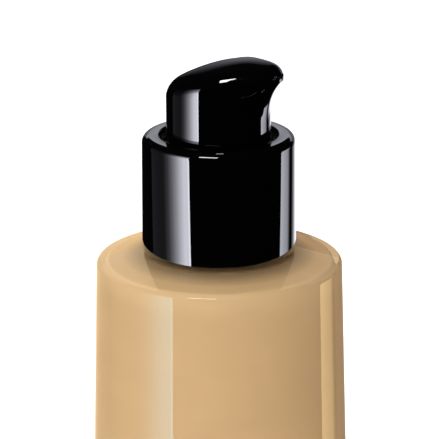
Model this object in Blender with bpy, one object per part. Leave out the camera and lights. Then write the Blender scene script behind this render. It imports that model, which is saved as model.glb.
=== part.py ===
"""A foundation bottle: a round, heavy-based glass bottle of 30 ml with a black treatment pump.

Metres, +Z up. The origin is the middle of the base, on the surface the bottle stands on.
The pump's nozzle points along +X, and every turned piece has its axis on Z.
"""

import math

import bmesh
import bpy
from mathutils import Matrix, Vector

MM = 0.001

# Driving dimensions. Radii and heights are measured from the bottle's axis and base.
BODY_HEIGHT = 60.0 * MM  # the rim of the shoulder
SHOULDER_RADIUS = 17.8 * MM
WALL_TAPER = 0.026  # the wall moves out by this much for each unit of height downwards
GLASS_WALL = 1.6 * MM  # at the shoulder
GLASS_FOOT_WALL = 4.0 * MM  # at the floor of the hollow
GLASS_BASE = 12.0 * MM
RIM_ROUND = 0.8 * MM
SHOULDER_GLASS = 0.9 * MM
COLLAR_RADIUS = 11.12 * MM
COLLAR_HEIGHT = 16.72 * MM
COLLAR_ABOVE_RIM = 1.89 * MM
COLLAR_ROUND = 1.09 * MM
COLLAR_DRAFT = 0.1 * MM  # how much narrower the collar is at its top
OPENING_RADIUS = 8.6 * MM
HEAD_RADIUS = 7.5 * MM
HEAD_REACH = 10.0 * MM  # from the axis to the tip of the nozzle
HEAD_CREST = 10.87 * MM  # above the collar's top
STROKE = 3.6 * MM
THREAD_PITCH = 3.0 * MM
THREAD_TURNS = 1.1
FIT_GAP = 0.3 * MM  # between pieces that rest on each other

# Heights that follow from them.
COLLAR_BOTTOM = BODY_HEIGHT + COLLAR_ABOVE_RIM
COLLAR_TOP = COLLAR_BOTTOM + COLLAR_HEIGHT
SHOULDER_TOP = COLLAR_BOTTOM - 0.65 * MM
CLOSURE_TOP = COLLAR_TOP - STROKE - 1.0 * MM
CLOSURE_PLATE = 0.9 * MM
FLANGE_TOP = CLOSURE_TOP - CLOSURE_PLATE - 0.25 * MM
FLANGE_THICK = 1.0 * MM
GASKET_TOP = FLANGE_TOP - FLANGE_THICK - 0.25 * MM
GASKET_THICK = 0.9 * MM
NECK_TOP = GASKET_TOP - GASKET_THICK - 0.25 * MM

# The neck and the closure's thread.
NECK_RADIUS = 7.9 * MM
NECK_BORE = 5.25 * MM
NECK_CREST = 8.9 * MM
CLOSURE_RADIUS = 10.0 * MM
CLOSURE_BORE = 9.25 * MM
CLOSURE_CREST = 8.25 * MM
CLOSURE_HOLE = 5.0 * MM
FLANGE_RADIUS = 7.7 * MM
THREAD_TOP = NECK_TOP - 1.9 * MM  # the middle of the ridge where it starts
THREAD_ROOT = 0.75 * MM  # half the ridge's width where it meets its wall
THREAD_LAND = 0.35 * MM  # half its width at the crest
SINK = 0.3 * MM  # how far a ridge starts inside its wall

# The pump's barrel, from the dip tube's socket up.
BARREL_RADIUS = 4.75 * MM
BARREL_BORE = 4.0 * MM
SOCKET_BOTTOM = 44.5 * MM
SOCKET_RADIUS = 2.6 * MM
SEAT_BOTTOM = 49.2 * MM
BARREL_FLOOR = 51.9 * MM
BALL_RADIUS = 1.25 * MM
BALL_CENTRE = 50.25 * MM
SPRING_RADIUS = 2.95 * MM
WIRE_RADIUS = 0.25 * MM
SPRING_TURNS = 7
SPRING_BOTTOM = 53.1 * MM
POPPET_BOTTOM = 62.95 * MM
PISTON_BOTTOM = 64.9 * MM
PISTON_HEIGHT = 3.2 * MM
VALVE_TRAVEL = 0.6 * MM
STEM_SHOULDER = PISTON_BOTTOM + PISTON_HEIGHT + VALVE_TRAVEL + 0.05 * MM
SHOULDER_THICK = 0.85 * MM
GUIDE_BOTTOM = STEM_SHOULDER + SHOULDER_THICK + 0.2 * MM
STEM_RADIUS = 1.9 * MM
STEM_BORE = 1.2 * MM
STEM_TOP = COLLAR_TOP + 4.6 * MM
TUBE_RADIUS = 1.5 * MM
TUBE_BORE = 1.0 * MM
TUBE_BOTTOM = GLASS_BASE + 1.8 * MM

# The head. Its outline seen from above is a circle drawn out to a blunt tip along +X.
HEAD_WALL = 1.0 * MM
HEAD_SKIRT = 0.8 * MM  # how far the skirt hangs inside the collar at rest
HEAD_CREASE = 6.9 * MM  # above the collar's top, where the beak starts to stand out from the wall
HEAD_ROUND = 1.9 * MM
TIP_HALF_WIDTH = 2.4 * MM
TIP_BLEND_END = 0.5  # radians past the tip's corner, where the flank is straight again
BEAK_SLOPE = math.radians(41.6)
CREST_AT = 4.5 * MM  # from the axis, where the finger pad stops rising
PAD_FALL = 25.3  # per metre: the pad falls by this times the squared distance behind its crest
PAD_CROWN = 12.0  # the same, sideways from the middle
CAVITY_TOP = 5.9 * MM
BOSS_TOP = 7.6 * MM
BOSS_RADIUS = 2.6 * MM
NOZZLE_RADIUS = 0.75 * MM
NOZZLE_BORE = 0.4 * MM
NOZZLE_SLOPE = math.radians(20.8)
MOUTH_HEIGHT = 9.5 * MM  # above the collar's top, the middle of the slot in the tip
MOUTH_DEPTH = 0.9 * MM
MOUTH_GAP = 0.35 * MM
LIP_NOTCH = 0.5 * MM  # depth of the V between the lips
NOZZLE_AXIS = Vector((math.cos(NOZZLE_SLOPE), 0, math.sin(NOZZLE_SLOPE)))
MOUTH = Vector((HEAD_REACH - MOUTH_DEPTH, 0, COLLAR_TOP + MOUTH_HEIGHT))

OUTER_STEPS = 48
INNER_STEPS = 20
HEAD_STEPS = 60


def new_object(name, bm, smooth_angle=35):
    """Turns the bmesh into a named object with its faces outwards, shaded smooth up to an angle."""
    bmesh.ops.remove_doubles(bm, verts=bm.verts, dist=1e-6)
    bmesh.ops.recalc_face_normals(bm, faces=bm.faces)
    mesh = bpy.data.meshes.new(name)
    bm.to_mesh(mesh)
    bm.free()
    mesh.shade_smooth()
    mesh.set_sharp_from_angle(angle=math.radians(smooth_angle))
    made = bpy.data.objects.new(name, mesh)
    bpy.context.collection.objects.link(made)
    return made


def turned(name, outline, steps=INNER_STEPS, closed=True):
    """A turned piece. The outline is (radius, height) points; an open one starts and ends on the axis."""
    bm = bmesh.new()
    points = [bm.verts.new((radius, 0, height)) for radius, height in outline]
    pairs = list(zip(points, points[1:]))
    if closed:
        pairs.append((points[-1], points[0]))
    edges = [bm.edges.new(pair) for pair in pairs]
    bmesh.ops.spin(
        bm, geom=points + edges, cent=(0, 0, 0), axis=(0, 0, 1), angle=math.tau, steps=steps, use_merge=True
    )
    return new_object(name, bm)


def arc(centre, radius, start, end, steps=4):
    """Points on a circle in the (radius, height) plane, from one angle in degrees to another."""
    angles = [math.radians(start + (end - start) * i / steps) for i in range(steps + 1)]
    return [(centre[0] + radius * math.cos(a), centre[1] + radius * math.sin(a)) for a in angles]


def rings_to_object(name, rings):
    """Joins rings of points, each ring all the way round, and closes the first and last with a fan."""
    bm = bmesh.new()
    made = [[bm.verts.new(point) for point in ring] for ring in rings]
    for low, high in zip(made, made[1:]):
        for i in range(len(low)):
            j = (i + 1) % len(low)
            bm.faces.new((low[i], low[j], high[j], high[i]))
    for ring in (made[0], made[-1]):
        middle = bm.verts.new(sum((v.co for v in ring), Vector()) / len(ring))
        for i in range(len(ring)):
            bm.faces.new((ring[i], ring[(i + 1) % len(ring)], middle))
    return new_object(name, bm, smooth_angle=40)


def cylinder(name, radius, start, end, steps=16):
    """A round bar between two points."""
    start, end = Vector(start), Vector(end)
    bm = bmesh.new()
    turn = Vector((0, 0, 1)).rotation_difference(end - start).to_matrix().to_4x4()
    bmesh.ops.create_cone(
        bm,
        cap_ends=True,
        segments=steps,
        radius1=radius,
        radius2=radius,
        depth=(end - start).length,
        matrix=Matrix.Translation((start + end) / 2) @ turn,
    )
    return new_object(name, bm)


def boolean(target, tool, operation):
    """Joins or cuts with the EXACT solver; the tool stays as a hidden guide."""
    modifier = target.modifiers.new(operation.lower(), "BOOLEAN")
    modifier.operation = operation
    modifier.solver = "EXACT"
    modifier.object = tool
    tool.hide_render = True
    tool.display_type = "WIRE"


def thread_ridge(name, root, crest, top, steps=28):
    """A right-hand thread ridge that starts at the height top and runs down, fading at both ends."""
    bm = bmesh.new()
    total = round(steps * THREAD_TURNS)
    fade_steps, least = 4, 0.06
    sections = []
    for i in range(total + 1):
        fade = min(1.0, i / fade_steps, (total - i) / fade_steps)
        reach = root + (crest - root) * (least + (1 - least) * fade)
        angle = -math.tau * i / steps
        height = top - THREAD_PITCH * i / steps
        corners = [(root, THREAD_ROOT), (reach, THREAD_LAND), (reach, -THREAD_LAND), (root, -THREAD_ROOT)]
        sections.append(
            [bm.verts.new((r * math.cos(angle), r * math.sin(angle), height + dz)) for r, dz in corners]
        )
    for here, there in zip(sections, sections[1:]):
        for a in range(4):
            b = (a + 1) % 4
            bm.faces.new((here[a], here[b], there[b], there[a]))
    bm.faces.new(sections[0])
    bm.faces.new(sections[-1][::-1])
    return new_object(name, bm)


def wall_radius(height):
    """The outer radius of the glass at a height: the side tapers evenly, narrower at the shoulder."""
    return SHOULDER_RADIUS + WALL_TAPER * (BODY_HEIGHT - height)


def shoulder_height(radius):
    """The height of the shoulder's outside: it rises evenly from the rim to the foot of the neck."""
    rim = SHOULDER_RADIUS - RIM_ROUND
    return BODY_HEIGHT + (SHOULDER_TOP - BODY_HEIGHT) * (rim - radius) / (rim - COLLAR_RADIUS)


def inside_top(gap=0.0, corner=0.6 * MM):
    """The glass's inner surface from the neck's bore to the top of the side, moved inwards by a gap."""
    high = wall_radius(BODY_HEIGHT) - GLASS_WALL - gap
    roof = shoulder_height(high - corner) - SHOULDER_GLASS - gap
    bore = shoulder_height(NECK_BORE) - SHOULDER_GLASS - gap
    return [(NECK_BORE, bore)] + arc((high - corner, roof - corner), corner, 79, 0)


def glass_bottle():
    heel, corner, push_up, ring_width, ring_ramp = 1.4 * MM, 2.0 * MM, 0.9 * MM, 2.0 * MM, 1.2 * MM
    root, lip, chamfer = 0.6 * MM, 0.4 * MM, 0.3 * MM
    ring_outer = wall_radius(0) - heel
    ring_inner = ring_outer - ring_width
    inner_low = wall_radius(GLASS_BASE) - GLASS_FOOT_WALL
    outline = [(0, push_up), (ring_inner - ring_ramp, push_up), (ring_inner, 0)]
    outline += arc((ring_outer, heel), heel, -90, 0)
    outline += arc((SHOULDER_RADIUS - RIM_ROUND, BODY_HEIGHT - RIM_ROUND), RIM_ROUND, 0, 84)
    outline += [(COLLAR_RADIUS, SHOULDER_TOP), (NECK_RADIUS + root, SHOULDER_TOP + root / 3)]
    outline += [(NECK_RADIUS, SHOULDER_TOP + root * 4 / 3), (NECK_RADIUS, NECK_TOP - lip)]
    outline += [(NECK_RADIUS - lip, NECK_TOP), (NECK_BORE + chamfer, NECK_TOP)]
    outline += [(NECK_BORE, NECK_TOP - chamfer)] + inside_top()
    outline += arc((inner_low - corner, GLASS_BASE + corner), corner, 0, -90)
    outline += [(0, GLASS_BASE)]
    bottle = turned("glass_bottle", outline, OUTER_STEPS, closed=False)
    ridge = thread_ridge("neck_thread_ridge", NECK_RADIUS - SINK, NECK_CREST, THREAD_TOP)
    boolean(bottle, ridge, "UNION")
    return bottle


def foundation_fill():
    """The liquid: it fills the glass to just under the shoulder, around the pump and its dip tube."""
    corner, cone = 2.0 * MM, 1.2 * MM
    bottom = GLASS_BASE + FIT_GAP
    low = wall_radius(bottom) - GLASS_FOOT_WALL - FIT_GAP
    tube_hole = TUBE_RADIUS + FIT_GAP
    socket_hole = SOCKET_RADIUS + FIT_GAP
    barrel_hole = BARREL_RADIUS + FIT_GAP + 0.05 * MM
    outline = [(0, bottom)]
    outline += arc((low - corner, bottom + corner), corner, -90, 0)
    roof = inside_top(FIT_GAP)[::-1]
    outline += roof[:-1] + [(barrel_hole, roof[-1][1]), (barrel_hole, BARREL_FLOOR - cone)]
    outline += [(socket_hole, SEAT_BOTTOM - cone), (socket_hole, SOCKET_BOTTOM - FIT_GAP)]
    outline += [(tube_hole, SOCKET_BOTTOM - FIT_GAP), (tube_hole, TUBE_BOTTOM - FIT_GAP)]
    outline += [(0, TUBE_BOTTOM - FIT_GAP)]
    return turned("foundation_fill", outline, OUTER_STEPS, closed=False)


def base_label():
    """A blank round label in the hollow of the base."""
    bottom, top, radius = 0.35 * MM, 0.6 * MM, 12.5 * MM
    return turned("base_label", [(0, bottom), (radius, bottom), (radius, top), (0, top)], 32, closed=False)


def neck_gasket():
    inner, outer, low = NECK_BORE + 0.1 * MM, NECK_RADIUS - 0.2 * MM, GASKET_TOP - GASKET_THICK
    return turned("neck_gasket", [(inner, low), (outer, low), (outer, GASKET_TOP), (inner, GASKET_TOP)], 24)


def pump_housing():
    low, cone, web = FLANGE_TOP - FLANGE_THICK, 0.4 * MM, 1.0 * MM
    socket, inlet, ball_room, seat = TUBE_RADIUS + 0.25 * MM, 0.9 * MM, 1.9 * MM, 1.2 * MM
    outline = [(FLANGE_RADIUS, FLANGE_TOP), (FLANGE_RADIUS, low), (BARREL_RADIUS, low)]
    outline += [(BARREL_RADIUS, BARREL_FLOOR - cone), (SOCKET_RADIUS, SEAT_BOTTOM - cone)]
    outline += [(SOCKET_RADIUS, SOCKET_BOTTOM), (socket, SOCKET_BOTTOM)]
    outline += [(socket, SEAT_BOTTOM - web), (inlet, SEAT_BOTTOM - web)]
    outline += [(inlet, SEAT_BOTTOM), (ball_room, SEAT_BOTTOM + seat), (ball_room, BARREL_FLOOR)]
    outline += [(BARREL_BORE, BARREL_FLOOR), (BARREL_BORE, FLANGE_TOP)]
    return turned("pump_housing", outline, 24)


def dip_tube():
    top = SEAT_BOTTOM - 1.3 * MM
    outline = [(TUBE_BORE, TUBE_BOTTOM), (TUBE_RADIUS, TUBE_BOTTOM), (TUBE_RADIUS, top), (TUBE_BORE, top)]
    return turned("dip_tube", outline, 16)


def inlet_ball():
    bm = bmesh.new()
    bmesh.ops.create_icosphere(bm, subdivisions=2, radius=BALL_RADIUS)
    ball = new_object("inlet_ball", bm, smooth_angle=80)
    ball.location = (0, 0, BALL_CENTRE)
    return ball


def ball_cage():
    """The ring that keeps the ball on its seat and carries the spring."""
    low, top = BARREL_FLOOR + 0.25 * MM, SPRING_BOTTOM - 0.1 * MM
    bore, hub, outer, hub_top = 0.9 * MM, 2.3 * MM, 3.7 * MM, top + 1.0 * MM
    outline = [(bore, hub_top), (hub, hub_top), (hub, top), (outer, top), (outer, low), (bore, low)]
    return turned("ball_cage", outline)


def return_spring():
    """A helix of round wire, made as a curve with a bevel."""
    steps = 12
    top = POPPET_BOTTOM - 0.1 * MM
    rise = top - SPRING_BOTTOM - 2 * WIRE_RADIUS
    count = SPRING_TURNS * steps
    curve = bpy.data.curves.new("return_spring", "CURVE")
    curve.dimensions = "3D"
    curve.bevel_depth = WIRE_RADIUS
    curve.bevel_resolution = 1
    curve.use_fill_caps = True
    spline = curve.splines.new("POLY")
    spline.points.add(count)
    for i, point in enumerate(spline.points):
        angle = math.tau * i / steps
        height = SPRING_BOTTOM + WIRE_RADIUS + rise * i / count
        point.co = (SPRING_RADIUS * math.cos(angle), SPRING_RADIUS * math.sin(angle), height, 1)
    spring = bpy.data.objects.new("return_spring", curve)
    bpy.context.collection.objects.link(spring)
    return spring


def poppet_rod():
    """The plug under the piston: at rest the spring holds it shut, and its rod is fixed in the stem."""
    head, tail = POPPET_BOTTOM + 0.9 * MM, POPPET_BOTTOM - 2.6 * MM
    guide, plug, seat, rod = 1.2 * MM, 3.3 * MM, 2.0 * MM, 0.9 * MM
    outline = [(0, tail), (guide, tail), (guide, POPPET_BOTTOM), (plug, POPPET_BOTTOM), (plug, head)]
    outline += [(seat, head + 0.8 * MM), (rod, head + 1.0 * MM)]
    outline += [(rod, head + 6.0 * MM), (0, head + 6.4 * MM)]
    return turned("poppet_rod", outline, closed=False)


def piston():
    low, top = PISTON_BOTTOM, PISTON_BOTTOM + PISTON_HEIGHT
    lip, slope, dish = 0.7 * MM, 0.4 * MM, 0.3 * MM
    inner, outer, waist = STEM_RADIUS + FIT_GAP, BARREL_BORE - 0.15 * MM, 3.3 * MM
    outline = [(inner, top), (waist, top - dish), (outer, top), (outer, top - lip)]
    outline += [(waist, top - lip - slope), (waist, low + lip + slope), (outer, low + lip), (outer, low)]
    outline += [(waist, low + dish), (inner + slope, low), (inner, low + 0.5 * MM)]
    return turned("piston", outline)


def stem():
    flange, low, over = 3.0 * MM, PISTON_BOTTOM + 0.4 * MM, STEM_SHOULDER + SHOULDER_THICK
    outline = [(STEM_RADIUS, STEM_TOP), (STEM_RADIUS, over), (flange, over), (flange, STEM_SHOULDER)]
    outline += [(STEM_RADIUS, STEM_SHOULDER), (STEM_RADIUS, low), (STEM_BORE, low), (STEM_BORE, STEM_TOP)]
    return turned("stem", outline)


def stem_gasket():
    inner, outer, low, top = 2.2 * MM, 3.7 * MM, GUIDE_BOTTOM, GUIDE_BOTTOM + 0.75 * MM
    return turned("stem_gasket", [(inner, low), (outer, low), (outer, top), (inner, top)])


def stem_guide():
    """The snap-in cap of the housing, which guides the stem."""
    low, seat, top = GUIDE_BOTTOM + 1.0 * MM, FLANGE_TOP + 0.25 * MM, CLOSURE_TOP + 1.5 * MM
    plug, flange, neck, bore, over = 3.75 * MM, 4.7 * MM, 3.2 * MM, STEM_RADIUS + 0.2 * MM, seat + 0.7 * MM
    outline = [(neck, top), (neck, over), (flange, over), (flange, seat)]
    outline += [(plug, seat), (plug, low), (bore, low), (bore, top)]
    return turned("stem_guide", outline)


def screw_closure():
    low, plate, chamfer = COLLAR_BOTTOM + 0.4 * MM, CLOSURE_TOP - CLOSURE_PLATE, 0.4 * MM
    outline = [(CLOSURE_RADIUS, CLOSURE_TOP - chamfer), (CLOSURE_RADIUS, low), (CLOSURE_BORE, low)]
    outline += [(CLOSURE_BORE, plate), (CLOSURE_HOLE, plate), (CLOSURE_HOLE, CLOSURE_TOP)]
    outline += [(CLOSURE_RADIUS - chamfer, CLOSURE_TOP)]
    closure = turned("screw_closure", outline, OUTER_STEPS)
    ridge_top = THREAD_TOP - THREAD_PITCH / 2
    ridge = thread_ridge("closure_thread_ridge", CLOSURE_BORE + SINK, CLOSURE_CREST, ridge_top)
    boolean(closure, ridge, "UNION")
    return closure


def collar_shroud():
    """The glossy outer collar, with a sleeve round the opening that the head moves in."""
    wall, plate, sleeve, break_edge, inner_round = 0.8 * MM, 1.3 * MM, 0.65 * MM, 0.2 * MM, 0.25 * MM
    inner, outer_sleeve = COLLAR_RADIUS - wall, OPENING_RADIUS + sleeve
    sleeve_low, under = CLOSURE_TOP + 0.5 * MM, COLLAR_TOP - plate
    outline = [(COLLAR_RADIUS - break_edge, COLLAR_BOTTOM), (COLLAR_RADIUS, COLLAR_BOTTOM + break_edge)]
    top_radius = COLLAR_RADIUS - COLLAR_DRAFT - COLLAR_ROUND
    outline += arc((top_radius, COLLAR_TOP - COLLAR_ROUND), COLLAR_ROUND, 0, 90, 5)
    outline += arc((OPENING_RADIUS + inner_round, COLLAR_TOP - inner_round), inner_round, 90, 180, 2)
    outline += [(OPENING_RADIUS, sleeve_low), (outer_sleeve, sleeve_low), (outer_sleeve, under)]
    outline += [(inner, under), (inner, COLLAR_BOTTOM)]
    return turned("collar_shroud", outline, OUTER_STEPS)


def head_reach(angle):
    """The head's outline seen from above: a circle, with straight flanks that meet a blunt tip at +X."""
    half_tip = math.atan2(TIP_HALF_WIDTH, HEAD_REACH)
    corner = math.hypot(HEAD_REACH, TIP_HALF_WIDTH)
    tangent = half_tip + math.acos(HEAD_RADIUS / corner)
    angle = abs(angle)
    if angle >= tangent:
        return HEAD_RADIUS
    flank = HEAD_RADIUS / math.cos(tangent - angle)
    if angle > half_tip + TIP_BLEND_END:
        return flank
    blend = 8  # a higher power meets the tip with a sharper corner
    return (flank**-blend + (HEAD_REACH / math.cos(angle)) ** -blend) ** (-1 / blend)


def pad_height(x, y):
    """The finger pad: it rises from the back to its crest, then runs level to the tip, and is crowned."""
    behind = max(0.0, CREST_AT - x)
    return COLLAR_TOP + HEAD_CREST - PAD_FALL * behind**2 - PAD_CROWN * y**2


def head_rings():
    """Rings of the head's outer surface, from the skirt's edge up over the beak and the pad."""
    angles = [math.tau * i / HEAD_STEPS for i in range(HEAD_STEPS)]
    angles = [a if a <= math.pi else a - math.tau for a in angles]
    skirt, crease = COLLAR_TOP - HEAD_SKIRT, COLLAR_TOP + HEAD_CREASE

    def rounded(angle, turn):
        reach = head_reach(angle) - HEAD_ROUND * (1 - math.cos(turn))
        x, y = reach * math.cos(angle), reach * math.sin(angle)
        return Vector((x, y, pad_height(x, y) - HEAD_ROUND * (1 - math.sin(turn))))

    edge = [rounded(a, 0).z for a in angles]
    rings = []
    least_wall, least_tip, fillet_steps = 0.4 * MM, 0.2 * MM, 5
    for share in (0.0, 0.35, 0.7):
        rings.append([(a, HEAD_RADIUS, skirt + (crease - skirt) * share) for a in angles])
    rings.append([(a, HEAD_RADIUS, min(crease, top - least_wall)) for a, top in zip(angles, edge)])
    beak = []
    for a, top in zip(angles, edge):
        out = head_reach(a)
        under = crease + (out - HEAD_RADIUS) * math.tan(BEAK_SLOPE)
        beak.append((a, out, min(under, top - least_tip)))
    rings.append(beak)
    points = [[Vector((r * math.cos(a), r * math.sin(a), z)) for a, r, z in ring] for ring in rings]
    for step in range(fillet_steps + 1):
        points.append([rounded(a, math.pi / 2 * step / fillet_steps) for a in angles])
    for share in (0.7, 0.35):
        ring = []
        for a in angles:
            reach = (head_reach(a) - HEAD_ROUND) * share
            x, y = reach * math.cos(a), reach * math.sin(a)
            ring.append(Vector((x, y, pad_height(x, y))))
        points.append(ring)
    return points


def actuator_shell():
    """The glossy head: a skirt, a finger pad and a beak with a slot in its tip."""
    shell = rings_to_object("actuator_shell", head_rings())
    margin, inward, cutter_steps = 2.0 * MM, 7.5 * MM, 32
    below, roof = COLLAR_TOP - HEAD_SKIRT - margin, COLLAR_TOP + CAVITY_TOP
    room, boss_room = HEAD_RADIUS - HEAD_WALL, BOSS_RADIUS + FIT_GAP
    boss_roof = COLLAR_TOP + BOSS_TOP + FIT_GAP
    outline = [(0, below), (room, below), (room, roof)]
    outline += [(boss_room, roof), (boss_room, boss_roof), (0, boss_roof)]
    boolean(shell, turned("head_cavity_cutter", outline, cutter_steps, closed=False), "DIFFERENCE")
    start, end = MOUTH - NOZZLE_AXIS * inward, MOUTH + NOZZLE_AXIS * 0.1 * MM
    boolean(shell, cylinder("head_passage_cutter", NOZZLE_RADIUS + 0.2 * MM, start, end), "DIFFERENCE")
    bm = bmesh.new()
    bmesh.ops.create_cube(bm, size=1.0)
    bmesh.ops.scale(bm, verts=bm.verts, vec=(2 * margin, 4 * TIP_HALF_WIDTH, MOUTH_GAP))
    slot = new_object("mouth_cutter", bm)
    slot.location = MOUTH + Vector((margin, 0, 0))
    boolean(shell, slot, "DIFFERENCE")
    # a square bar turned onto its edge cuts the V between the lips
    lips = Vector((HEAD_REACH - LIP_NOTCH + margin, 0, COLLAR_TOP + MOUTH_HEIGHT))
    side = Vector((0, 2 * TIP_HALF_WIDTH, 0))
    boolean(shell, cylinder("lip_notch_cutter", margin, lips - side, lips + side, 4), "DIFFERENCE")
    return shell


def actuator_core():
    """The white inner part of the head: it grips the stem and leads the liquid to the nozzle."""
    radius, hub, roof, disc = HEAD_RADIUS - HEAD_WALL - FIT_GAP, 3.4 * MM, 0.8 * MM, 1.0 * MM
    low, top, boss = COLLAR_TOP + 1.0 * MM, COLLAR_TOP + CAVITY_TOP - FIT_GAP, COLLAR_TOP + BOSS_TOP
    socket, duct, stop = STEM_RADIUS + 0.25 * MM, 0.6 * MM, STEM_TOP + FIT_GAP
    outline = [(BOSS_RADIUS, boss), (BOSS_RADIUS, top), (radius, top), (radius, top - disc)]
    outline += [(hub, top - disc), (hub, low), (socket, low), (socket, stop)]
    outline += [(duct, stop), (duct, boss - roof), (0, boss - roof)]
    core = turned("actuator_core", [(0, boss)] + outline, 24, closed=False)
    on_axis = MOUTH - NOZZLE_AXIS * (MOUTH.x / math.cos(NOZZLE_SLOPE))
    bore, length = 0.5 * MM, 4 * MM
    duct_bore = cylinder("core_duct_cutter", bore, on_axis, on_axis + NOZZLE_AXIS * length, 12)
    boolean(core, duct_bore, "DIFFERENCE")
    return core


def nozzle_tube():
    """The tube from the core to the mouth, pushed in from the tip."""
    length, set_back = 5.4 * MM, 0.3 * MM
    outline = [(NOZZLE_BORE, 0), (NOZZLE_RADIUS, 0), (NOZZLE_RADIUS, length), (NOZZLE_BORE, length)]
    tube = turned("nozzle_tube", outline, 16)
    tube.rotation_mode = "QUATERNION"
    tube.rotation_quaternion = Vector((0, 0, 1)).rotation_difference(NOZZLE_AXIS)
    tube.location = MOUTH - NOZZLE_AXIS * (length + set_back)
    return tube


def material(name, colour, roughness, metallic=0.0, transmission=0.0):
    made = bpy.data.materials.new(name)
    made.use_nodes = True
    shader = made.node_tree.nodes["Principled BSDF"]
    shader.inputs["Base Color"].default_value = (*colour, 1)
    shader.inputs["Roughness"].default_value = roughness
    shader.inputs["Metallic"].default_value = metallic
    shader.inputs["Transmission Weight"].default_value = transmission
    return made


def main():
    for old in list(bpy.data.objects):
        bpy.data.objects.remove(old, do_unlink=True)
    glass = material("clear_glass", (0.95, 0.95, 0.95), 0.03, transmission=1.0)
    liquid = material("liquid_foundation", (0.62, 0.40, 0.22), 0.25)
    black = material("gloss_black_plastic", (0.004, 0.004, 0.005), 0.06)
    natural = material("natural_polypropylene", (0.75, 0.75, 0.72), 0.4)
    steel = material("spring_steel", (0.6, 0.6, 0.6), 0.25, metallic=1.0)
    rubber = material("sealing_rubber", (0.35, 0.35, 0.35), 0.7)
    paper = material("blank_label", (0.85, 0.85, 0.83), 0.6)
    pieces = {
        glass_bottle: glass,
        foundation_fill: liquid,
        base_label: paper,
        neck_gasket: rubber,
        pump_housing: natural,
        dip_tube: natural,
        inlet_ball: steel,
        ball_cage: natural,
        return_spring: steel,
        poppet_rod: natural,
        piston: natural,
        stem: natural,
        stem_gasket: rubber,
        stem_guide: natural,
        screw_closure: natural,
        collar_shroud: black,
        actuator_shell: black,
        actuator_core: natural,
        nozzle_tube: natural,
    }
    for make, finish in pieces.items():
        make().data.materials.append(finish)


main()
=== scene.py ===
"""Foundation bottle: the visible pieces, their finishes and the studio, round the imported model.

Metres, +Z up. The origin is the middle of the base and the nozzle points along +X.
"""

import math

import bmesh
import bpy
from bpy.props import FloatProperty, FloatVectorProperty, IntProperty, PointerProperty
from mathutils import Matrix, Vector


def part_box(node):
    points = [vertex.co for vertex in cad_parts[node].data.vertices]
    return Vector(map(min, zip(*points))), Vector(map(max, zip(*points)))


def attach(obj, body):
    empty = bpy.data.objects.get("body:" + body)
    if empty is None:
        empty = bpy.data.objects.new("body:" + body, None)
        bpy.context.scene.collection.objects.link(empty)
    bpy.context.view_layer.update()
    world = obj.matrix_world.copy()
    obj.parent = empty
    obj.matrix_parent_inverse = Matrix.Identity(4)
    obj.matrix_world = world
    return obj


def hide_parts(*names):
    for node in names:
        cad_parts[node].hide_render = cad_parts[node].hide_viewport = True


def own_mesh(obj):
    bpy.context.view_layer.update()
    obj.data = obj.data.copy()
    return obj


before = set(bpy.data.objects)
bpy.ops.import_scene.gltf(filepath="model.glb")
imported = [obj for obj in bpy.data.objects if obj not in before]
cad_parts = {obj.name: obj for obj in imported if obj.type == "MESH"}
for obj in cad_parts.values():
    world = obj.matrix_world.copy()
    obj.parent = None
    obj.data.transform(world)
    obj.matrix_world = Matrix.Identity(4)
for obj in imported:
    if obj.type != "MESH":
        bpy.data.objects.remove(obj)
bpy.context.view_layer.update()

bl_info = {
    "name": "Foundation Bottle",
    "version": (1, 0, 0),
    "blender": (4, 5, 0),
    "location": "View3D > Sidebar > Foundation Bottle",
    "description": "A round glass foundation bottle with a treatment pump, its finishes and a studio",
    "category": "Add Mesh",
}

MM = 0.001
AXIS = Vector((0, 0, 0))
UP = Vector((0, 0, 1))
COLLAR_LOW, COLLAR_HIGH = (corner[2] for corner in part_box("collar_shroud"))
COLLAR_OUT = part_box("collar_shroud")[1][0]
LABEL_LOW, LABEL_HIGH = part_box("base_label")
COLLAR_GAP = 0.65 * MM  # between the shoulder and the collar over it
SHOULDER_TOP = COLLAR_LOW - COLLAR_GAP
MIDDLE = (("From Min", 0.35), ("From Max", 0.65))  # most values of a noise lie between these
EVEN = ((0, 1),)  # a softbox's stops when it is equally bright all over
NATURAL_PIECES = (
    "pump_housing",
    "dip_tube",
    "ball_cage",
    "poppet_rod",
    "piston",
    "stem",
    "stem_guide",
    "screw_closure",
    "actuator_core",
)


def length(name, description, default):
    """A size property, from millimetres."""
    return FloatProperty(
        name=name, description=description, default=default * MM, unit="LENGTH", precision=5
    )


def rotation(name, description, degrees):
    """An angle property, from degrees."""
    return FloatProperty(
        name=name, description=description, default=math.radians(degrees), unit="ROTATION"
    )


def colour(name, description, hex_code):
    """A colour property, from an sRGB hex code."""
    return FloatVectorProperty(
        name=name,
        description=description,
        default=linear(hex_code),
        subtype="COLOR",
        size=3,
        min=0,
        max=1,
    )


def linear(hex_code):
    """Three linear values from an sRGB hex code."""
    parts = [int(hex_code[i : i + 2], 16) / 255 for i in (1, 3, 5)]
    return [p / 12.92 if p <= 0.04045 else ((p + 0.055) / 1.055) ** 2.4 for p in parts]


# ------------------------------------------------------------------------------------ settings


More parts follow.
